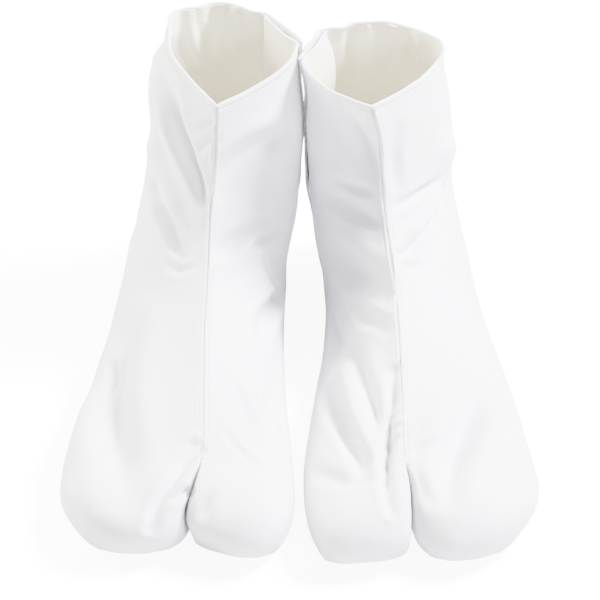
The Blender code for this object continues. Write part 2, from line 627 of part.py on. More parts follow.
def shell(name, patches, sock, material, collection):
    """A closed wall: the outer patches welded, the same moved inwards, and their edges joined."""
    mirrored = SOCK_PLACES[sock]["out_is"] < 0
    work = bmesh.new()
    inward_layer = work.verts.layers.float_vector.new("inward")
    for points, inward, facing in patches:
        world, offset = set_down(points, sock), set_down(inward, sock, vectors=True)
        verts = []
        for row in range(world.shape[0]):
            line = []
            for column in range(world.shape[1]):
                vert = work.verts.new(world[row, column])
                vert[inward_layer] = offset[row, column]
                line.append(vert)
            verts.append(line)
        for row in range(world.shape[0] - 1):
            for column in range(world.shape[1] - 1):
                corners = [verts[row][column], verts[row][column + 1],
                           verts[row + 1][column + 1], verts[row + 1][column]]
                work.faces.new(corners if facing == mirrored else corners[::-1])
    bmesh.ops.remove_doubles(work, verts=work.verts, dist=WELD)
    bmesh.ops.dissolve_degenerate(work, edges=work.edges, dist=WELD / 2)
    outer_faces = list(work.faces)
    inner = bmesh.ops.duplicate(work, geom=list(work.verts) + list(work.edges) + outer_faces)
    inner_of = inner["vert_map"]
    inner_faces = [item for item in inner["geom"] if isinstance(item, bmesh.types.BMFace)]
    bmesh.ops.reverse_faces(work, faces=inner_faces)
    borders = [edge for face in outer_faces for edge in face.edges if len(edge.link_faces) == 1]
    quads = []
    for edge in borders:
        start = edge.link_loops[0].vert
        end = edge.other_vert(start)
        quads.append((end, start, inner_of[start], inner_of[end]))
    for vert in {item for item in inner["geom"] if isinstance(item, bmesh.types.BMVert)}:
        vert.co += vert[inward_layer]
    for quad in quads:
        work.faces.new(quad)
    mesh = bpy.data.meshes.new(name)
    work.to_mesh(mesh)
    work.free()
    piece = bpy.data.objects.new(name, mesh)
    piece.data.materials.append(material)
    mesh.shade_smooth()
    mesh.set_sharp_from_angle(angle=math.radians(50))
    collection.objects.link(piece)
    return piece


def clasps(sock, places, surface, normals, material, collection):
    """The column of clasps under the outer lap, each a thin plate with rounded corners."""
    side, side_normals = surface["in", "side"], normals["in", "side"]
    put = SOCK_PLACES[sock]
    for number, row in enumerate(CLASP_ROWS, start=1):
        edge = arc_lengths(side[row])[-1] * closure_share(places[row])
        place, normal = span(side[row], side_normals[row], edge + CLASP_BEHIND - 1,
                             edge + CLASP_BEHIND + 1, 2)
        middle = place[1] - normal[1] * CLASP_DEPTH
        facing = Vector(set_down(normal[1], sock, vectors=True)).normalized()
        along = Vector(set_down(place[2] - place[0], sock, vectors=True)).normalized()
        upward = facing.cross(along).normalized()
        along = upward.cross(facing)
        work = bmesh.new()
        bmesh.ops.create_cube(work, size=1.0)
        bmesh.ops.scale(work, verts=work.verts,
                        vec=(CLASP_WIDTH * MM, CLASP_HEIGHT * MM, CLASP_THICKNESS * MM))
        corners = [edge for edge in work.edges
                   if abs(edge.verts[0].co.z - edge.verts[1].co.z) > CLASP_THICKNESS * MM / 2]
        bmesh.ops.bevel(work, geom=corners, offset=CLASP_ROUNDING * MM, segments=3,
                        profile=0.5, affect="EDGES", material=-1)
        mesh = bpy.data.meshes.new(f"{sock}_clasp_{number}")
        work.to_mesh(mesh)
        work.free()
        plate = bpy.data.objects.new(f"{sock}_clasp_{number}", mesh)
        plate.location = Vector(set_down(middle, sock))
        plate.rotation_euler = Matrix((along, upward, facing)).transposed().to_euler()
        plate.data.materials.append(material)
        collection.objects.link(plate)


def plain_material(name, colour, roughness, metallic=0.0):
    material = bpy.data.materials.new(name)
    material.use_nodes = True
    shader = material.node_tree.nodes["Principled BSDF"]
    shader.inputs["Base Color"].default_value = (*colour, 1)
    shader.inputs["Roughness"].default_value = roughness
    shader.inputs["Metallic"].default_value = metallic
    return material


def centre(collection):
    """Move the pair so that the bottom middle of its box is at the origin."""
    bpy.context.view_layer.update()
    points = np.array([piece.matrix_world @ vert.co
                       for piece in collection.objects for vert in piece.data.vertices])
    low, high = points.min(axis=0), points.max(axis=0)
    shift = Vector((-(low[0] + high[0]) / 2, -(low[1] + high[1]) / 2, -low[2]))
    for piece in collection.objects:
        piece.location += shift


def build():
    for thing in list(bpy.data.objects):
        bpy.data.objects.remove(thing)
    collection = bpy.data.collections.new(OBJECT_NAME)
    bpy.context.scene.collection.children.link(collection)
    upper_cloth = plain_material("white_cotton", (0.86, 0.86, 0.87), 0.6)
    sole_cloth = plain_material("sole_cotton", (0.82, 0.81, 0.80), 0.8)
    clasp_metal = plain_material("clasp_brass", (0.75, 0.62, 0.35), 0.35, 1.0)
    for sock in SOCK_PLACES:
        places, grids = outer_surface(sock)
        surface, normals = creased(sock, places, grids)
        for piece, patches in upper_patches(sock, places, surface, normals).items():
            shell(f"{sock}_{piece}", patches, sock, upper_cloth, collection)
        for piece, patches in sole_patches(places, surface, normals).items():
            shell(f"{sock}_{piece}", patches, sock, sole_cloth, collection)
        clasps(sock, places, surface, normals, clasp_metal, collection)
    centre(collection)


if __name__ == "__main__":
    build()
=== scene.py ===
"""A pair of white tabi socks, filled out and standing side by side on a pale floor.

Every panel keeps its CAD solid's form as a thin shell.  Creases, seams, hems and stitches follow
that form, in millimetres, in the row frame: +Z up, toes towards -Y.
"""

import json
import math

import bmesh
import bpy
import numpy as np
from mathutils import Matrix, Vector, noise
from mathutils.bvhtree import BVHTree

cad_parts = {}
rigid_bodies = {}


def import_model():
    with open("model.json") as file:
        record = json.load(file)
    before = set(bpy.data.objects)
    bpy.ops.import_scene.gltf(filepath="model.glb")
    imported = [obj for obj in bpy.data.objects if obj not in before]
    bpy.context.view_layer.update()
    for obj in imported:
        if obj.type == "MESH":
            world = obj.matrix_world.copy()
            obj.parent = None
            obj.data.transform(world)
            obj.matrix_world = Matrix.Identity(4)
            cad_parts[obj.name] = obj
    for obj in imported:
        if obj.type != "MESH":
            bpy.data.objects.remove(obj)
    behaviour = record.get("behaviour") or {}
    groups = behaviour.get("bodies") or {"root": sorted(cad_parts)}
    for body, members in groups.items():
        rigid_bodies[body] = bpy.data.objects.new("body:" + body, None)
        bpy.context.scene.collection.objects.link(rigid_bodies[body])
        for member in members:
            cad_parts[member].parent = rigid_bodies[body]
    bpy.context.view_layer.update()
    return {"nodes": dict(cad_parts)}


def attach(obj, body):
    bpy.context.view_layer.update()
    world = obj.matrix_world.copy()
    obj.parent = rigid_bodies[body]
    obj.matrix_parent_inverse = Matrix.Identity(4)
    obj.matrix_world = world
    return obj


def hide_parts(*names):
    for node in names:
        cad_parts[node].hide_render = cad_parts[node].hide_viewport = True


for thing in list(bpy.data.objects):
    bpy.data.objects.remove(thing)
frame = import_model()
MM = 0.001
SOCKS = ("right", "left")


# --- Camera ------------------------------------------------------------------------------------
# It looks down on the toes from the front, far enough away that the shafts hardly shrink.
CAMERA_TARGET = Vector((0.0004, -0.0073, 0.0608))
CAMERA_ELEVATION = math.radians(38)
CAMERA_DISTANCE = 0.95
CAMERA_LENS = 121.8
SENSOR_WIDTH = 36


def linked_object(name, data):
    thing = bpy.data.objects.new(name, data)
    bpy.context.scene.collection.objects.link(thing)
    return thing


camera = linked_object("camera", bpy.data.cameras.new("camera"))
backwards = Vector((0, -math.cos(CAMERA_ELEVATION), math.sin(CAMERA_ELEVATION)))
camera.location = CAMERA_TARGET + backwards * CAMERA_DISTANCE
camera.rotation_euler = (-backwards).to_track_quat("-Z", "Y").to_euler()
camera.data.lens = CAMERA_LENS
camera.data.sensor_width = SENSOR_WIDTH
bpy.context.scene.camera = camera


# --- White cotton ------------------------------------------------------------------------------
# A close, slightly lustrous cotton, cool white outside.  The lining that shows in the mouths is
# creamier.  A thread pattern and a soft unevenness of the surface stand in its bump.
WEAVE_BUMP = 0.00004       # metres, as are the other bumps
SLUB_BUMP = 0.00012
ROUGHNESS_SPREAD = 0.16


def feed(tree, socket, value):
    """Give an input socket a plain value, or link another node's output to it."""
    if isinstance(value, bpy.types.NodeSocket):
        tree.links.new(value, socket)
    else:
        socket.default_value = value


def linked(tree, node_type, **inputs):
    """A shader node with its inputs fed by name, or by number: i0, i1, i2."""
    node = tree.nodes.new(node_type)
    for key, value in inputs.items():
        numbered = key[0] == "i" and key[1:].isdigit()
        feed(tree, node.inputs[int(key[1:]) if numbered else key.replace("_", " ")], value)
    return node


def maths(tree, operation, first, second=0.0, third=0.0):
    node = linked(tree, "ShaderNodeMath", i0=first, i1=second, i2=third)
    node.operation = operation
    return node.outputs[0]


def mixed(tree, share, first, second):
    node = tree.nodes.new("ShaderNodeMix")
    node.data_type = "RGBA"
    for name, value in (("Factor", share), ("A", first), ("B", second)):
        feed(tree, next(s for s in node.inputs if s.name == name and s.enabled), value)
    return next(s for s in node.outputs if s.enabled)


def weave_group():
    """Height of a plain weave on any face: threads over and under, seen along the nearest axis."""
    group = bpy.data.node_groups.new("plain_weave", "ShaderNodeTree")
    group.interface.new_socket("Threads", in_out="INPUT", socket_type="NodeSocketFloat")
    group.interface.new_socket("Height", in_out="OUTPUT", socket_type="NodeSocketFloat")
    start = group.nodes.new("NodeGroupInput")
    end = group.nodes.new("NodeGroupOutput")
    where = group.nodes.new("ShaderNodeTexCoord")
    place = linked(group, "ShaderNodeSeparateXYZ", i0=where.outputs["Object"])
    facing = linked(group, "ShaderNodeSeparateXYZ", i0=where.outputs["Normal"])
    turns = maths(group, "MULTIPLY", start.outputs["Threads"], 2 * math.pi)
    waves = [maths(group, "SINE", maths(group, "MULTIPLY", axis, turns))
             for axis in place.outputs]
    total = 0.0
    for index, axis in enumerate(facing.outputs):
        cross = maths(group, "MULTIPLY", waves[(index + 1) % 3], waves[(index + 2) % 3])
        weight = maths(group, "MULTIPLY", axis, axis)
        total = maths(group, "MULTIPLY_ADD", cross, weight, total)
    group.links.new(total, end.inputs["Height"])
    return group


GROOVE_STEEPNESS = 4.0
GROOVE_BLEND = 0.4
ROLL_HEIGHT = 0.8


def line_group():
    """Height of a sewn edge: a fold's soft roll at a distance of 0, a pressed line beside it."""
    group = bpy.data.node_groups.new("sewn_edge", "ShaderNodeTree")
    for name in ("Distance", "Width"):
        group.interface.new_socket(name, in_out="INPUT", socket_type="NodeSocketFloat")
    group.interface.new_socket("Height", in_out="OUTPUT", socket_type="NodeSocketFloat")
    start = group.nodes.new("NodeGroupInput")
    end = group.nodes.new("NodeGroupOutput")
    away = maths(group, "DIVIDE", start.outputs["Distance"], start.outputs["Width"])
    beside = maths(group, "ABSOLUTE", maths(group, "SUBTRACT", away, 1.0))
    steep = maths(group, "MULTIPLY", beside, GROOVE_STEEPNESS)
    groove = maths(group, "SMOOTH_MIN", steep, 1.0, GROOVE_BLEND)
    top = maths(group, "SUBTRACT", 1.0, maths(group, "MINIMUM", away, 1.0))
    group.links.new(maths(group, "MULTIPLY_ADD", top, ROLL_HEIGHT, groove), end.inputs["Height"])
    return group


WEAVE = weave_group()
SEWN_EDGE = line_group()


def grouped(tree, group, **inputs):
    node = tree.nodes.new("ShaderNodeGroup")
    node.node_tree = group
    for name, value in inputs.items():
        feed(tree, node.inputs[name], value)
    return node.outputs[0]


def bumped(tree, height, depth, below=None):
    node = linked(tree, "ShaderNodeBump", Height=height, Distance=depth)
    if below:
        tree.links.new(below, node.inputs["Normal"])
    return node.outputs[0]


def cotton(name, tint, shade, lining, roughness, threads, hems):
    """Cloth of a colour and its shade, with a lining colour inside and pressed lines at hems."""
    material = bpy.data.materials.new(name)
    material.use_nodes = True
    tree = material.node_tree
    shader = tree.nodes["Principled BSDF"]
    where = tree.nodes.new("ShaderNodeTexCoord").outputs["Object"]
    cloudy = linked(tree, "ShaderNodeTexNoise", Vector=where, Scale=22.0, Detail=3.0)
    slubs = linked(tree, "ShaderNodeTexNoise", Vector=where, Scale=420.0, Detail=2.0)
    outside = mixed(tree, cloudy.outputs["Fac"], (*tint, 1), (*shade, 1))
    inner = linked(tree, "ShaderNodeAttribute")
    inner.attribute_name = "inside"
    colour = mixed(tree, inner.outputs["Fac"], outside, (*lining, 1))
    tree.links.new(colour, shader.inputs["Base Color"])
    rough = maths(tree, "MULTIPLY_ADD", slubs.outputs["Fac"], ROUGHNESS_SPREAD,
                  roughness - ROUGHNESS_SPREAD / 2)
    tree.links.new(rough, shader.inputs["Roughness"])
    normal = bumped(tree, grouped(tree, WEAVE, Threads=threads), WEAVE_BUMP)
    normal = bumped(tree, slubs.outputs["Fac"], SLUB_BUMP, normal)
    for attribute, width, depth in hems:
        edge = linked(tree, "ShaderNodeAttribute")
        edge.attribute_name = attribute
        line = grouped(tree, SEWN_EDGE, Distance=edge.outputs["Fac"], Width=width)
        normal = bumped(tree, line, depth, normal)
    tree.links.new(normal, shader.inputs["Normal"])
    shader.inputs["Sheen Weight"].default_value = 0.25
    shader.inputs["Sheen Roughness"].default_value = 0.4
    shader.inputs["Specular IOR Level"].default_value = 0.35
    return material


UPPER_COTTON = cotton("white_cotton", (0.80, 0.80, 0.835), (0.78, 0.777, 0.815),
                      (0.92, 0.88, 0.72), 0.55, 1400.0,
                      (("rim_mm", 2.0, 0.0003), ("seam_mm", 2.4, 0.00025),
                       ("closure_mm", 2.2, 0.00025)))
SOLE_COTTON = cotton("sole_cotton", (0.86, 0.85, 0.86), (0.80, 0.79, 0.80),
                     (0.88, 0.865, 0.80), 0.75, 900.0, (("seam_mm", 2.0, 0.0002),))
TRIM_COTTON = cotton("trim_cotton", (0.82, 0.82, 0.85), (0.80, 0.80, 0.83),
                     (0.90, 0.90, 0.90), 0.5, 2000.0, ())


# --- Creases -----------------------------------------------------------------------------------
# The cloth's sharper creases, over the broad folds that the solids have already.  Each row gives
# sock, depth in CREASE_DEPTHs (minus for a ridge), half widths at its start and end, sharpness,
# and its points.  Sharpness 1 is a pressed crease, 2 a soft trough.  Lengths are in millimetres.
CREASES = (
    ("right", 3.2, (5.0, 2.2), 1.5,
     ((-65, 74, 129), (-61, 63, 124), (-57, 57, 114), (-52, 51, 104), (-48, 44, 94), (-45, 35, 85))),
    ("right", -1.6, (5.0, 3.0), 1.8, ((-69, 72, 121), (-65, 62, 113), (-59, 53, 99), (-52, 43, 89))),
    ("right", 3.5, (2.8, 2.5), 1.4,
     ((-73, 63, 76), (-69, 52, 74), (-63, 40, 71), (-59, 29, 67), (-55, 21, 65))),
    ("right", -1.4, (4.0, 3.0), 1.8, ((-71, 63, 85), (-62, 46, 80), (-55, 30, 71))),
    ("right", 1.4, (2.4, 2.4), 1.5, ((-62, 21, 61), (-58, 16, 62), (-53, 14, 63))),
    ("right", 3.0, (7.0, 5.0), 1.7, ((-37, 39, 94), (-32, 43, 101), (-21, 51, 108), (-7, 63, 108))),
    ("right", 2.8, (4.0, 2.6), 1.5, ((-37, 20, 69), (-32, 25, 70), (-26, 32, 71), (-20, 39, 73))),
    ("right", 2.2, (2.8, 2.0), 1.4, ((-21, 30, 65), (-13, 40, 63), (-7, 51, 61))),
    ("right", 2.4, (2.0, 1.6), 1.3, ((-16, 33, 58), (-15, 31, 48), (-10, 36, 29))),
    ("right", 3.2, (3.0, 4.5), 1.5, ((-8, 43, 27), (-13, 23, 34), (-16, 8, 38), (-18, -3, 39))),
    ("right", 2.8, (4.0, 5.0), 1.6, ((-22, -30, 39), (-18, -42, 35), (-13, -52, 26), (-6, -63, 21))),
    ("right", -1.5, (5.0, 5.0), 1.8, ((-20, -38, 37), (-17, -52, 31), (-17, -70, 29))),
    ("right", 4.0, (9.0, 8.0), 1.7, ((-83, -2, 36), (-87, -37, 30), (-82, -76, 28), (-75, -107, 29))),
    ("right", 2.0, (2.0, 1.6), 1.3, ((-91, -13, 28), (-91, -24, 27), (-91, -35, 27))),
    ("right", 2.6, (2.4, 2.2), 1.3,
     ((-45, -83, 34), (-51, -89, 33), (-58, -102, 31), (-63, -112, 27), (-65, -119, 22))),
    ("right", 1.4, (2.0, 2.0), 1.3, ((-51, -82, 33), (-48, -78, 35), (-43, -82, 34))),
    ("right", 2.6, (2.0, 1.6), 1.3, ((-47, -103, 28), (-51, -104, 29), (-57, -108, 28))),
    ("right", 1.3, (2.4, 2.2), 1.5, ((-38, -107, 30), (-40, -112, 27), (-41, -115, 25))),
    ("right", 1.0, (1.8, 1.8), 1.4, ((-33, -71, 35), (-29, -77, 33), (-23, -83, 30), (-16, -86, 28))),
    ("right", 0.9, (2.0, 1.6), 1.3, ((-39, 41, 130), (-44, 44, 124), (-48, 46, 119))),
    ("right", 0.9, (2.0, 1.6), 1.3, ((-38, 41, 120), (-44, 43, 115), (-48, 46, 107))),
    ("right", 1.8, (2.2, 3.5), 1.5, ((-50, 108, 143), (-52, 111, 132), (-48, 113, 116))),
    ("right", -1.5, (2.5, 4.0), 1.6, ((-42, 111, 144), (-43, 113, 133), (-47, 114, 120))),
    ("right", 1.6, (2.2, 3.0), 1.5, ((-33, 112, 144), (-35, 114, 136), (-31, 115, 124))),
    ("right", 1.4, (2.5, 3.5), 1.5, ((-62, 98, 143), (-64, 101, 130), (-62, 104, 114))),
    ("right", 1.0, (4.0, 3.0), 1.6, ((-60, 108, 70), (-48, 116, 62), (-32, 118, 58))),
    ("right", 1.2, (4.5, 3.5), 1.6, ((-64, 100, 52), (-50, 112, 46), (-34, 119, 44))),
    ("right", 0.9, (4.0, 3.0), 1.5, ((-72, 76, 48), (-76, 52, 40), (-80, 30, 36))),
    ("left", 3.4, (7.0, 5.0), 1.7, ((22, 50, 126), (26, 47, 117), (31, 44, 108), (34, 40, 101))),
    ("left", 1.5, (2.6, 2.0), 1.5, ((16, 51, 89), (21, 46, 90), (28, 41, 91), (36, 36, 92))),
    ("left", 2.2, (4.5, 3.0), 1.6, ((13, 53, 80), (21, 44, 81), (28, 36, 80), (37, 29, 79))),
    ("left", 3.0, (8.0, 7.0), 1.8, ((14, 42, 49), (24, 25, 54), (31, 12, 57), (40, 1, 60))),
    ("left", 1.8, (4.0, 3.0), 1.6, ((27, 11, 45), (31, -2, 47), (36, -9, 50), (41, -18, 52))),
    ("left", 2.0, (2.2, 1.8), 1.4, ((46, 35, 85), (54, 41, 85), (63, 51, 85), (69, 57, 84))),
    ("left", 1.4, (4.0, 3.0), 1.6, ((46, 46, 119), (44, 43, 112), (45, 41, 102), (47, 39, 92))),
    ("left", 3.8, (2.2, 1.8), 1.3,
     ((72, 60, 77), (67, 48, 73), (61, 34, 70), (54, 23, 68), (49, 18, 69))),
    ("left", -2.2, (4.0, 3.0), 1.7, ((68, 54, 79), (62, 41, 75), (54, 28, 73))),
    ("left", 1.8, (2.2, 2.2), 1.4, ((47, 17, 70), (48, 13, 67), (54, 14, 64), (60, 18, 62))),
    ("left", 1.6, (3.0, 2.5), 1.5, ((71, 57, 75), (75, 57, 67), (78, 54, 57))),
    ("left", 2.6, (4.0, 3.2), 1.5,
     ((13, -32, 25), (16, -46, 28), (21, -62, 29), (26, -80, 30), (28, -93, 30))),
    ("left", 2.8, (4.5, 3.5), 1.5,
     ((26, -16, 37), (28, -39, 40), (32, -56, 40), (36, -71, 37), (39, -80, 35))),
    ("left", -1.6, (4.0, 5.0), 1.8, ((23, -25, 34), (25, -46, 36), (28, -65, 34), (31, -79, 32))),
    ("left", 3.4, (2.6, 2.0), 1.4,
     ((44, -41, 46), (42, -59, 40), (40, -74, 36), (38, -86, 33), (38, -103, 31), (40, -115, 28))),
    ("left", 1.2, (3.5, 3.0), 1.6, ((8, -85, 23), (20, -96, 28), (35, -98, 31))),
    ("left", 2.0, (3.0, 2.4), 1.5, ((52, -93, 33), (55, -103, 30), (58, -108, 29))),
    ("left", 1.4, (2.4, 2.4), 1.5, ((50, -86, 33), (56, -81, 34), (63, -76, 34))),
    ("left", 3.4, (7.0, 5.0), 1.7, ((82, -44, 34), (75, -65, 32), (69, -85, 31), (65, -105, 30))),
    ("left", 1.2, (1.6, 1.6), 1.3, ((47, -71, 37), (45, -70, 37), (42, -72, 37))),
    ("left", 1.2, (1.8, 1.6), 1.3, ((47, -75, 36), (44, -76, 36), (41, -79, 35))),
    ("left", 2.2, (3.0, 4.0), 1.6, ((16, 27, 23), (17, 14, 25), (20, -4, 29))),
    ("left", -1.5, (2.5, 4.0), 1.6, ((24, 108, 139), (26, 110, 128), (29, 112, 112))),
    ("left", 1.8, (2.2, 3.5), 1.5, ((33, 111, 141), (34, 112, 130), (38, 114, 118))),
    ("left", 1.4, (2.2, 3.0), 1.5, ((46, 108, 142), (45, 110, 134), (41, 112, 126))),
    ("left", -1.2, (3.0, 3.5), 1.6, ((52, 103, 142), (53, 105, 130), (57, 104, 116))),
    ("left", 1.0, (4.0, 3.0), 1.6, ((32, 118, 66), (46, 116, 60), (62, 106, 58))),
    ("left", 1.2, (4.5, 3.5), 1.6, ((34, 120, 46), (50, 114, 44), (68, 100, 50))),
    ("left", 0.9, (4.0, 3.0), 1.5, ((80, 74, 46), (88, 50, 40), (94, 28, 34))),
)
CREASE_DEPTH = 1.6
TAPER_START = 0.1          # its depth follows a half wave without this share at each end
TAPER_POWER = 0.8
REACH_FADE = 0.05          # and fades by this share for each width away from its path
LIP = 0.3                  # the low swell beside a crease, as a share of its depth
LIP_AWAY = 1.9             # where the swell lies and how wide it is, in widths of the crease
LIP_WIDTH = 0.8
UNEVENNESS = 0.5           # how far the filled-out cloth is from smooth
SWELL_LENGTHS = (17, 24, 17)
RIPPLE_LENGTHS = (7, 10, 7)
RIPPLE_AWAY = (9, 0, 0)    # where in the noise the ripples are taken
RIPPLE_SHARE = 0.3


def smooth_path(points, steps=6):
    """A Catmull-Rom curve through the points, as an array."""
    points = [np.array(point, float) for point in points]
    padded = [2 * points[0] - points[1], *points, 2 * points[-1] - points[-2]]
    curve = []
    for before, here, after, beyond in zip(padded, padded[1:], padded[2:], padded[3:]):
        for share in np.linspace(0, 1, steps, endpoint=False):
            curve.append(0.5 * (2 * here + (after - before) * share
                                + (2 * before - 5 * here + 4 * after - beyond) * share ** 2
                                + (3 * here - before - 3 * after + beyond) * share ** 3))
    curve.append(points[-1])
    return np.array(curve)


def distance_along(places, path):
    """Distance of each place from a path, and how far along the path that is, from 0 to 1."""
    best = np.full(len(places), 1e9)
    along = np.zeros(len(places))
    lengths = np.concatenate([[0], np.cumsum(np.linalg.norm(np.diff(path, axis=0), axis=1))])
    for index, start in enumerate(path[:-1]):
        step = path[index + 1] - start
        share = np.clip((places - start) @ step / (step @ step), 0, 1)
        gap = np.linalg.norm(places - start - share[:, None] * step, axis=1)
        nearer = gap < best
        best[nearer] = gap[nearer]
        along[nearer] = (lengths[index] + share * np.linalg.norm(step))[nearer] / lengths[-1]
    return best, along


def crease_heights(paths, places):
    """How far creases and the cloth's unevenness move each place outwards, in millimetres."""
    height = np.zeros(len(places))
    for depth, (first, last), sharpness, path in paths:
        gap, along = distance_along(places, path)
        width = first + (last - first) * along
        through = np.clip(TAPER_START + (1 - 2 * TAPER_START) * along, 0, 1)
        taper = np.sin(math.pi * through) ** TAPER_POWER
        taper *= np.clip(1 - (gap / width - 1) * REACH_FADE, 0, 1)
        trough = np.exp(-(gap / width) ** sharpness)
        lip = np.exp(-((gap - LIP_AWAY * width) / (LIP_WIDTH * width)) ** 2)
        height -= CREASE_DEPTH * depth * taper * (trough - LIP * lip)
    swells, ripples = places / SWELL_LENGTHS, places / RIPPLE_LENGTHS + RIPPLE_AWAY
    for index, (swell, ripple) in enumerate(zip(swells, ripples)):
        uneven = noise.noise(Vector(swell)) + RIPPLE_SHARE * noise.noise(Vector(ripple))
        height[index] += UNEVENNESS * uneven
    return height


# --- Panels ------------------------------------------------------------------------------------
# Three pieces of cloth a sock.  Each starts from its CAD solid, whose wall is a lined cotton
# wall already, is divided finely, and takes the creases on both faces of the wall alike.
SHARP = math.radians(35)
FINENESS = 2
EDGE_CREASE = 0.75
CUT_LEVEL = {"outer_panel": 4.35, "inner_panel": 4.35, "sole": 4.05}   # at the sole seam
CUT_WITHIN = 0.04
WALL = 1.5                 # thickness of the upper panels' lined cotton
RIM_HEIGHT = 126           # the rims lie above this
STEEP = 0.7                # and no step along them rises by more than this share of its length
OPENING_Y = 52             # the closure lies behind this, the front seam before it
SEAM_ABOVE = 5             # the front seam and the closure start above these heights
CLOSURE_ABOVE = 6


def quads_of(node):
    """The CAD solid as one joined mesh with its triangles paired."""
    work = bmesh.new()
    work.from_mesh(frame["nodes"][node].data)
    for layer in list(work.loops.layers.uv):
        work.loops.layers.uv.remove(layer)
    bmesh.ops.remove_doubles(work, verts=work.verts, dist=0.000003)
    bmesh.ops.join_triangles(work, faces=work.faces, cmp_seam=False, cmp_sharp=False,
                             cmp_uvs=False, cmp_vcols=False, cmp_materials=False,
                             angle_face_threshold=math.radians(40),
                             angle_shape_threshold=math.radians(80))
    return work


def skins_of(work, cut_level):
    """Which faces lie outside (1), inside (-1) or on the cut edge (0) of the wall."""
    def is_level_cut(face):
        return all(abs(vert.co.z / MM - cut_level) < CUT_WITHIN for vert in face.verts)

    left = {face for face in work.faces if not is_level_cut(face)}
    patches = []
    while left:
        patch, waiting = set(), [left.pop()]
        while waiting:
            face = waiting.pop()
            patch.add(face)
            for edge in face.edges:
                if edge.calc_face_angle(0) < SHARP:
                    near = [other for other in edge.link_faces if other in left]
                    left.difference_update(near)
                    waiting.extend(near)
        patches.append((sum(face.calc_area() for face in patch), patch))
    patches.sort(key=lambda entry: -entry[0])
    side = {face: 0 for face in work.faces}
    for sign, (_, patch) in zip((1, -1), patches):
        side.update({face: sign for face in patch})
    return side


def border_of(work, side):
    """The outer skin's longest edge as one ring of vertices, in order."""
    edges = {}
    for edge in work.edges:
        if [side[face] for face in edge.link_faces].count(1) == 1:
            for vert in edge.verts:
                edges.setdefault(vert, []).append(edge)
    used, longest = set(), []
    for start in edges:
        ring, here = [], start
        while True:
            step = next((edge for edge in edges[here] if edge not in used), None)
            if step is None:
                break
            used.add(step)
            ring.append(here)
            here = step.other_vert(here)
        longest = max(longest, ring, key=len)
    return longest


def outward_of(vert, side):
    """The way out of the sock at a point of the wall."""
    total = Vector()
    for face in vert.link_faces:
        total += face.normal * (side[face] * face.calc_area())
    return total.normalized() if total.length > 0 else vert.normal.copy()


def divided(work, name):
    """The mesh finely divided, with the edges of the wall kept fairly crisp."""
    crease = work.edges.layers.float.new("crease_edge")
    for edge in work.edges:
        if edge.calc_face_angle(0) > SHARP:
            edge[crease] = EDGE_CREASE
    mesh = bpy.data.meshes.new(name)
    work.to_mesh(mesh)
    rough = linked_object(name + "_rough", mesh)
    subdivision = rough.modifiers.new("subdivision", "SUBSURF")
    subdivision.levels = subdivision.render_levels = FINENESS
    finished = bpy.data.meshes.new_from_object(
        rough.evaluated_get(bpy.context.evaluated_depsgraph_get()))
    bpy.data.objects.remove(rough)
    bpy.data.meshes.remove(mesh)
    return finished


def attribute_values(mesh, name, width):
    values = np.zeros(len(mesh.vertices) * width)
    mesh.attributes[name].data.foreach_get("vector" if width == 3 else "value", values)
    return values.reshape(-1, width) if width > 1 else values


def set_distance(mesh, name, gap):
    """A distance in millimetres, kept at each vertex for the cloth's material."""
    layer = mesh.attributes.new(name, "FLOAT", "POINT")
    layer.data.foreach_set("value", np.asarray(gap, np.float32))


outlines = {}
panels = {}
for sock in SOCKS:
    for part, cut_level in CUT_LEVEL.items():
        node = f"{sock}_{part}"
        work = quads_of(node)
        side = skins_of(work, cut_level)
        outlines[node] = [(np.array(vert.co) / MM, np.array(outward_of(vert, side)))
                          for vert in border_of(work, side)]
        inside = work.verts.layers.float.new("inside")
        outward = work.verts.layers.float_vector.new("outward")
        for vert in work.verts:
            vert[inside] = 1.0 if min(side[face] for face in vert.link_faces) < 0 else 0.0
            vert[outward] = outward_of(vert, side)
        panels[node] = divided(work, node + "_cloth")
        work.free()


def on_rim(place, previous):
    step = place - previous
    return place[2] > RIM_HEIGHT and abs(step[2]) < STEEP * np.linalg.norm(step)


def on_front_seam(place, previous):
    return place[2] > SEAM_ABOVE and place[1] < OPENING_Y and not on_rim(place, previous)


def on_closure(place, previous):
    return place[2] > CLOSURE_ABOVE and place[1] > OPENING_Y and not on_rim(place, previous)


def stretch(node, wanted):
    """The longest run of a panel's outline whose places are wanted: places and outward ways."""
    ring = outlines[node]
    count = len(ring)
    best, run = [], []
    for index in range(2 * count):
        if wanted(ring[index % count][0], ring[index % count - 1][0]) and len(run) < count:
            run.append(index % count)
            best = max(best, run, key=len)
        else:
            run = []
    return [np.array([ring[index][entry] for index in best]) for entry in (0, 1)]


seams = {}
for sock in SOCKS:
    outer, inner = f"{sock}_outer_panel", f"{sock}_inner_panel"
    ring = outlines[f"{sock}_sole"]
    ring = ring + ring[:1]
    seams[sock] = {
        "outer_rim": stretch(outer, on_rim),
        "inner_rim": stretch(inner, on_rim),
        "front": stretch(outer, on_front_seam),
        "closure": stretch(outer, on_closure),
        "sole": [np.array([entry[index] for entry in ring]) for index in (0, 1)],
    }


def laid_creases(sock):
    """The sock's creases with their paths laid onto the outside of its panels."""
    corners, faces = [], []
    for part in CUT_LEVEL:
        mesh = panels[f"{sock}_{part}"]
        inner = attribute_values(mesh, "inside", 1) > 0.5
        faces += [[corner + len(corners) for corner in face.vertices] for face in mesh.polygons
                  if not inner[list(face.vertices)].any()]
        corners += [vert.co / MM for vert in mesh.vertices]
    skin = BVHTree.FromPolygons(corners, faces)
    return [(depth, widths, sharpness,
             np.array([skin.find_nearest(Vector(point))[0] for point in smooth_path(points)]))
            for owner, depth, widths, sharpness, points in CREASES if owner == sock]


creases = {sock: laid_creases(sock) for sock in SOCKS}

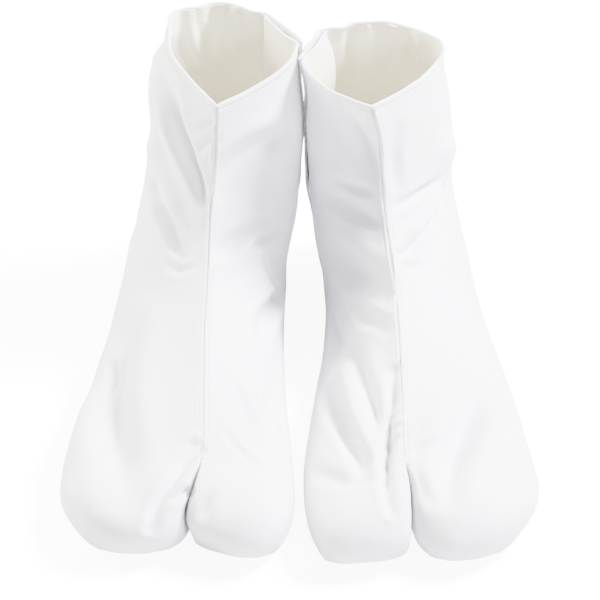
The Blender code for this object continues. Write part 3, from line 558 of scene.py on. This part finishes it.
# Where the filled cloth bulges or is drawn in: sock, centre, reach and move, in millimetres.
PULLS = (
    ("right", (-45, -124, 7), 10.5, (5.0, 4.0, 0.0)),
    ("right", (-49, -103, 16), 10.0, (-2.5, 0.0, 0.0)),
    ("left", (72, -116, 12), 26.0, (1.0, -4.0, 0.0)),
    ("left", (54, -108, 12), 12.0, (-2.0, -2.0, 0.0)),
    ("right", (-92, -22, 26), 9.0, (2.5, 0.0, 0.0)),
    ("right", (-73, 62, 76), 7.0, (3.5, 0.0, 0.0)),
    ("right", (-74, 68, 96), 9.0, (-3.0, 0.0, 0.0)),
    ("left", (76, 66, 96), 9.0, (3.0, 0.0, 0.0)),
    ("left", (74, 60, 78), 7.0, (-2.5, 0.0, 0.0)),
    ("right", (-6, 66, 108), 21.0, (2.7, 0.0, 0.0)),
    ("left", (7, 64, 106), 21.0, (-2.7, 0.0, 0.0)),
)

# The two toes press together: sock, middle of the gap, its slant, reach along and across, share.
PINCHES = (
    ("right", (-48.5, -107, 16), 0.2, 26.0, 8.0, 0.9),
    ("left", (50.7, -107, 16), -0.12, 26.0, 8.0, 0.5),
)
TOES_APART = 0.5           # half of the gap that the toes keep between them
CLASP_REACH = 11.0
CLASP_GRIP = 4             # how suddenly a clasp's hold gives way at its reach


def held_still(sock, places):
    """0 where a clasp holds the cloth as its solid has it, 1 well away from all of them."""
    free = np.ones(len(places))
    for name, node in frame["nodes"].items():
        if name.startswith(sock + "_clasp"):
            corners = np.array([node.matrix_world @ Vector(c) for c in node.bound_box]) / MM
            gap = np.linalg.norm(places - corners.mean(0), axis=1)
            free *= 1 - np.exp(-(gap / CLASP_REACH) ** CLASP_GRIP)
    return free


def pulled(sock, places):
    """How the pulls and the pressed toes move each place, in millimetres."""
    moves = np.zeros_like(places)
    for owner, middle, slant, along, across, share in PINCHES:
        if owner == sock:
            away = places - middle
            away[:, 0] -= slant * away[:, 1]
            weight = np.exp(-(away[:, 0] / across) ** 2 - ((away[:, 1:] / along) ** 2).sum(1))
            opened = np.clip(np.abs(away[:, 0]) / TOES_APART - 1, 0, 1)
            moves[:, 0] -= share * away[:, 0] * weight * opened
    for owner, centre, reach, move in PULLS:
        if owner == sock:
            gap = np.linalg.norm(places - centre, axis=1)
            moves += np.exp(-(gap / reach) ** 2)[:, None] * move
    return moves * held_still(sock, places)[:, None]


def rim_distance(sock, places):
    """Distance of each place from the nearer of the sock's two mouth edges."""
    return np.minimum(distance_along(places, seams[sock]["outer_rim"][0])[0],
                      distance_along(places, seams[sock]["inner_rim"][0])[0])


FLOOR_EASE = 9.0           # creases and waves fade out below this height
GATHER = 0.35              # small gathers along the front seam
GATHER_REACH = 6.0
GATHER_LENGTH = 4.5
GATHERED_RUN = 260         # what the whole front seam counts as in their pattern
GATHER_DRAW = 3.0          # where in the noise they are taken
SEAM_RISE = 0.5            # the seam allowances lift the cloth beside the front seam
SEAM_RISE_REACH = 2.5
RIM_WAVE = 2.6             # the mouth's edge is a little wavy, less so before WAVY_BEHIND
RIM_WAVE_LENGTH = 13.0
RIM_WAVE_REACH = 14.0
WAVY_BEHIND = 62
WAVY_WITHIN = 18
LEAST_WAVY = 0.15
LEANING_REACH = 5.0        # the pair leans together this close to its middle
CLEFTS = {                 # the root of the cleft between the toes, x and y, and its slant
    "right": (-44.5, -87.0, 0.2),
    "left": (48.3, -87.0, -0.12),
}
CLEFT_REACH = 2.2
CLEFT_START = 4.0


def surface_shift(sock, places):
    """How far a point of the sock moves outwards from its solid, in millimetres."""
    height = crease_heights(creases[sock], places)
    front = seams[sock]["front"][0]
    gap, along = distance_along(places, front)
    run = along * GATHERED_RUN / GATHER_LENGTH
    gathers = np.array([noise.noise(Vector((at, side, GATHER_DRAW)))
                        for at, side in zip(run, np.sign(places[:, 0] - front[0, 0]))])
    height += GATHER * gathers * np.exp(-(gap / GATHER_REACH) ** 2)
    height += SEAM_RISE * np.exp(-(gap / SEAM_RISE_REACH) ** 2)
    waves = np.array([noise.noise(Vector(place / RIM_WAVE_LENGTH)) for place in places])
    waves *= np.clip((places[:, 1] - WAVY_BEHIND) / WAVY_WITHIN, LEAST_WAVY, 1)
    height += RIM_WAVE * waves * np.exp(-(rim_distance(sock, places) / RIM_WAVE_REACH) ** 2)
    leaning = np.exp(-(places[:, 0] / LEANING_REACH) ** 2)
    height -= np.maximum(height, 0) * leaning          # no swell where the pair leans together
    cleft_x, cleft_y, slant = CLEFTS[sock]
    off = places[:, 0] - cleft_x - slant * (places[:, 1] - cleft_y)
    in_cleft = np.exp(-(off / CLEFT_REACH) ** 2)
    in_cleft *= np.clip((cleft_y - places[:, 1]) / CLEFT_START, 0, 1)
    height -= np.maximum(height, 0) * in_cleft         # nor where the toes' walls press together
    return height * np.clip(places[:, 2] / FLOOR_EASE, 0, 1) * held_still(sock, places)


AWAY_FROM_CLOSURE = 50     # keeps the closure's pressed line off the pieces that have none
cloths = {}
for node, mesh in panels.items():
    sock, part = node.split("_", 1)
    places = np.zeros(len(mesh.vertices) * 3)
    mesh.vertices.foreach_get("co", places)
    places = places.reshape(-1, 3) / MM
    ways = attribute_values(mesh, "outward", 3)
    ways /= np.maximum(np.linalg.norm(ways, axis=1, keepdims=True), 1e-6)
    set_distance(mesh, "rim_mm", rim_distance(sock, places))
    set_distance(mesh, "seam_mm", distance_along(places, seams[sock]["front"][0])[0])
    closure = distance_along(places, seams[sock]["closure"][0])[0]
    set_distance(mesh, "closure_mm",
                 closure if part == "outer_panel" else closure + AWAY_FROM_CLOSURE)
    inside = attribute_values(mesh, "inside", 1)
    shift = surface_shift(sock, places + ways * inside.reshape(-1, 1) * WALL)
    moved = (places + ways * shift[:, None] + pulled(sock, places)) * MM
    moved[:, 2] = np.maximum(moved[:, 2], 0.0)
    mesh.vertices.foreach_set("co", moved.ravel())
    mesh.update()
    mesh.shade_smooth()
    mesh.materials.clear()
    mesh.materials.append(SOLE_COTTON if part == "sole" else UPPER_COTTON)
    piece = linked_object(node + "_cloth", mesh)
    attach(piece, "root")
    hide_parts(node)
    cloths[node] = piece


# --- Welts, hems and rolled seams --------------------------------------------------------------
# The front seam is felled into a narrow raised welt.  The mouths, the closure's upper lap and
# the sole's edge are turned in and rolled.  Each is a soft round edge of the same cotton, partly
# sunk in the panel that carries it.
HEM_RADIUS = 0.85
SLIM_END = 0.6
ROLLS = (                  # seam, the panel that carries the roll, its radius and its rise
    ("outer_rim", "outer_panel", HEM_RADIUS, -WALL / 2),
    ("inner_rim", "inner_panel", HEM_RADIUS, -WALL / 2),
    ("front", "outer_panel", 0.95, -0.25),
    ("closure", "outer_panel", 0.7, -WALL / 2),
    ("sole", "sole", 0.55, -0.2),
)


def roll(name, path, radius):
    """A round roll of cloth along a path in millimetres, a little slimmer at its two ends."""
    curve = bpy.data.curves.new(name, "CURVE")
    curve.dimensions = "3D"
    curve.bevel_depth = radius * MM
    curve.bevel_resolution = 3
    curve.use_fill_caps = True
    points = smooth_path(path, 3)
    spline = curve.splines.new("POLY")
    spline.points.add(len(points) - 1)
    for index, (point, place) in enumerate(zip(spline.points, points)):
        point.co = (*(place * MM), 1)
        point.radius = SLIM_END if index in (0, len(points) - 1) else 1.0
    drawn = linked_object(name + "_drawn", curve)
    mesh = bpy.data.meshes.new_from_object(
        drawn.evaluated_get(bpy.context.evaluated_depsgraph_get()))
    bpy.data.objects.remove(drawn)
    mesh.name = name
    mesh.shade_smooth()
    mesh.materials.clear()
    mesh.materials.append(TRIM_COTTON)
    piece = linked_object(name, mesh)
    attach(piece, "root")
    return piece


def shifted(sock, run, rise):
    """A seam's path moved as the cloth beside it has moved, and by a rise of its own."""
    places, ways = run
    return places + ways * (surface_shift(sock, places) + rise)[:, None] + pulled(sock, places)


trims = {}
for sock in SOCKS:
    for seam, part, radius, rise in ROLLS:
        piece = roll(f"{sock}_{seam}_roll", shifted(sock, seams[sock][seam], rise), radius)
        trims.setdefault(f"{sock}_{part}", []).append(piece)


# --- Stitches ----------------------------------------------------------------------------------
# Fine white thread, nearly seven stitches to the inch, on both sides of the front seam, under
# the rims and along the closure.  Each stitch is a slim bead of thread, half sunk in the cloth.
STITCH_LENGTH = 2.3
STITCH_SPACE = 1.5
THREAD_RADIUS = 0.2
BESIDE_SEAM = 2.3
UNDER_RIM = 4.0
BESIDE_CLOSURE = 3.0


def stitches(name, path, ways, offset, surface):
    """A row of stitches at an offset to the left of a path, laid on a surface."""
    path, ways = smooth_path(path, 3), smooth_path(ways, 3)
    heading = np.gradient(path, axis=0)
    heading /= np.linalg.norm(heading, axis=1, keepdims=True)
    aside = np.cross(ways, heading)
    aside /= np.linalg.norm(aside, axis=1, keepdims=True)
    laid = []
    for place in path + aside * offset:
        found, normal, _, _ = surface.find_nearest(Vector(place * MM))
        laid.append((*(np.array(found) / MM), *normal))
    laid = np.array(laid)
    steps = np.linalg.norm(np.diff(laid[:, :3], axis=0), axis=1)
    lengths = np.concatenate([[0], np.cumsum(steps)])
    work = bmesh.new()
    for start in np.arange(STITCH_SPACE, lengths[-1] - STITCH_LENGTH,
                           STITCH_LENGTH + STITCH_SPACE):
        ends = [np.array([np.interp(at, lengths, laid[:, axis]) for axis in range(6)])
                for at in (start, start + STITCH_LENGTH)]
        middle = Vector((ends[0][:3] + ends[1][:3]) / 2 * MM)
        along = Vector(ends[1][:3] - ends[0][:3]).normalized()
        out = Vector(ends[0][3:] + ends[1][3:]).normalized()
        across = out.cross(along).normalized()
        turn = Matrix((along, across, along.cross(across))).transposed().to_4x4()
        size = Matrix.Diagonal((STITCH_LENGTH / 2 * MM, THREAD_RADIUS * MM,
                                THREAD_RADIUS * MM, 1))
        bmesh.ops.create_uvsphere(work, u_segments=6, v_segments=4, radius=1,
                                  matrix=Matrix.Translation(middle) @ turn @ size)
    mesh = bpy.data.meshes.new(name)
    work.to_mesh(mesh)
    work.free()
    mesh.shade_smooth()
    mesh.materials.append(TRIM_COTTON)
    piece = linked_object(name, mesh)
    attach(piece, "root")
    return piece


def surface_of(piece):
    return BVHTree.FromObject(piece, bpy.context.evaluated_depsgraph_get())


for sock in SOCKS:
    surface = {part: surface_of(cloths[f"{sock}_{part}"]) for part in CUT_LEVEL}
    left_is_out = 1 if sock == "right" else -1
    rows = (
        ("front", "outer_panel", BESIDE_SEAM * left_is_out),
        ("front", "inner_panel", -BESIDE_SEAM * left_is_out),
        ("outer_rim", "outer_panel", UNDER_RIM),
        ("inner_rim", "inner_panel", UNDER_RIM),
        ("closure", "outer_panel", BESIDE_CLOSURE),
    )
    for number, (seam, part, offset) in enumerate(rows):
        places, ways = seams[sock][seam]
        piece = stitches(f"{sock}_{seam}_stitches_{number}", places, ways, offset,
                         surface[part])
        trims[f"{sock}_{part}"].append(piece)


# --- Clasps ------------------------------------------------------------------------------------
# Five small brass plates a sock, held between the two laps of the closure.  They are stamped
# and polished, with fine rubbing marks.
def clasp_brass():
    material = bpy.data.materials.new("clasp_brass")
    material.use_nodes = True
    tree = material.node_tree
    shader = tree.nodes["Principled BSDF"]
    where = tree.nodes.new("ShaderNodeTexCoord").outputs["Object"]
    marks = linked(tree, "ShaderNodeTexNoise", Vector=where, Scale=900.0, Detail=4.0)
    colour = mixed(tree, marks.outputs["Fac"], (0.78, 0.60, 0.30, 1), (0.68, 0.50, 0.22, 1))
    tree.links.new(colour, shader.inputs["Base Color"])
    shader.inputs["Metallic"].default_value = 1.0
    rough = maths(tree, "MULTIPLY_ADD", marks.outputs["Fac"], 0.2, 0.22)
    tree.links.new(rough, shader.inputs["Roughness"])
    tree.links.new(bumped(tree, marks.outputs["Fac"], 0.00002), shader.inputs["Normal"])
    return material


brass = clasp_brass()
for node, solid in frame["nodes"].items():
    if "_clasp_" in node:
        solid.data.materials.clear()
        solid.data.materials.append(brass)


# --- Floor and light ---------------------------------------------------------------------------
# A plain pale floor that glows for the camera only, a broad cool key high on the right, a warm
# fill on the left, and two weaker lights, overhead and at the front right.
FLOOR_HALF = 40.0          # metres, so that low views show no edge of it
FLOOR_GLOW = 9.0
floor_work = bmesh.new()
bmesh.ops.create_grid(floor_work, x_segments=1, y_segments=1, size=FLOOR_HALF)
floor_mesh = bpy.data.meshes.new("floor")
floor_work.to_mesh(floor_mesh)
floor_work.free()
floor = linked_object("floor", floor_mesh)
floor_paint = bpy.data.materials.new("floor")
floor_paint.use_nodes = True
floor_tree = floor_paint.node_tree
floor_shader = floor_tree.nodes["Principled BSDF"]
floor_shader.inputs["Base Color"].default_value = (0.85, 0.85, 0.85, 1)
floor_shader.inputs["Roughness"].default_value = 0.9
floor_shader.inputs["Specular IOR Level"].default_value = 0.0
glow = linked(floor_tree, "ShaderNodeEmission", Strength=FLOOR_GLOW)
seen = floor_tree.nodes.new("ShaderNodeLightPath").outputs["Is Camera Ray"]
bright = linked(floor_tree, "ShaderNodeAddShader", i0=floor_shader.outputs[0], i1=glow.outputs[0])
lit = linked(floor_tree, "ShaderNodeMixShader", i0=seen, i1=floor_shader.outputs[0],
             i2=bright.outputs[0])
floor_tree.links.new(lit.outputs[0], floor_tree.nodes["Material Output"].inputs["Surface"])
floor_mesh.materials.append(floor_paint)


def soft_light(name, place, target, size, power, colour):
    data = bpy.data.lights.new(name, "AREA")
    data.shape = "DISK"
    data.size = size
    data.energy = power
    data.color = colour
    light = linked_object(name, data)
    light.location = place
    light.rotation_euler = (Vector(target) - Vector(place)).to_track_quat("-Z", "Y").to_euler()


soft_light("key", (0.80, 0.25, 1.05), (0, 0, 0.06), 0.4, 175, (0.93, 0.94, 1.0))
soft_light("fill", (-1.0, 0.40, 0.50), (0, 0, 0.06), 0.5, 62, (1.0, 0.92, 0.82))
soft_light("top", (0.05, 0.45, 1.35), (0, 0, 0.05), 0.6, 20, (1.0, 1.0, 1.0))
soft_light("front", (0.60, -1.05, 0.45), (0, 0, 0.03), 0.4, 22, (0.97, 0.98, 1.0))
world = bpy.data.worlds.new("studio")
bpy.context.scene.world = world
world.use_nodes = True
world.node_tree.nodes["Background"].inputs["Color"].default_value = (0.86, 0.86, 1.0, 1)
world.node_tree.nodes["Background"].inputs["Strength"].default_value = 0.3
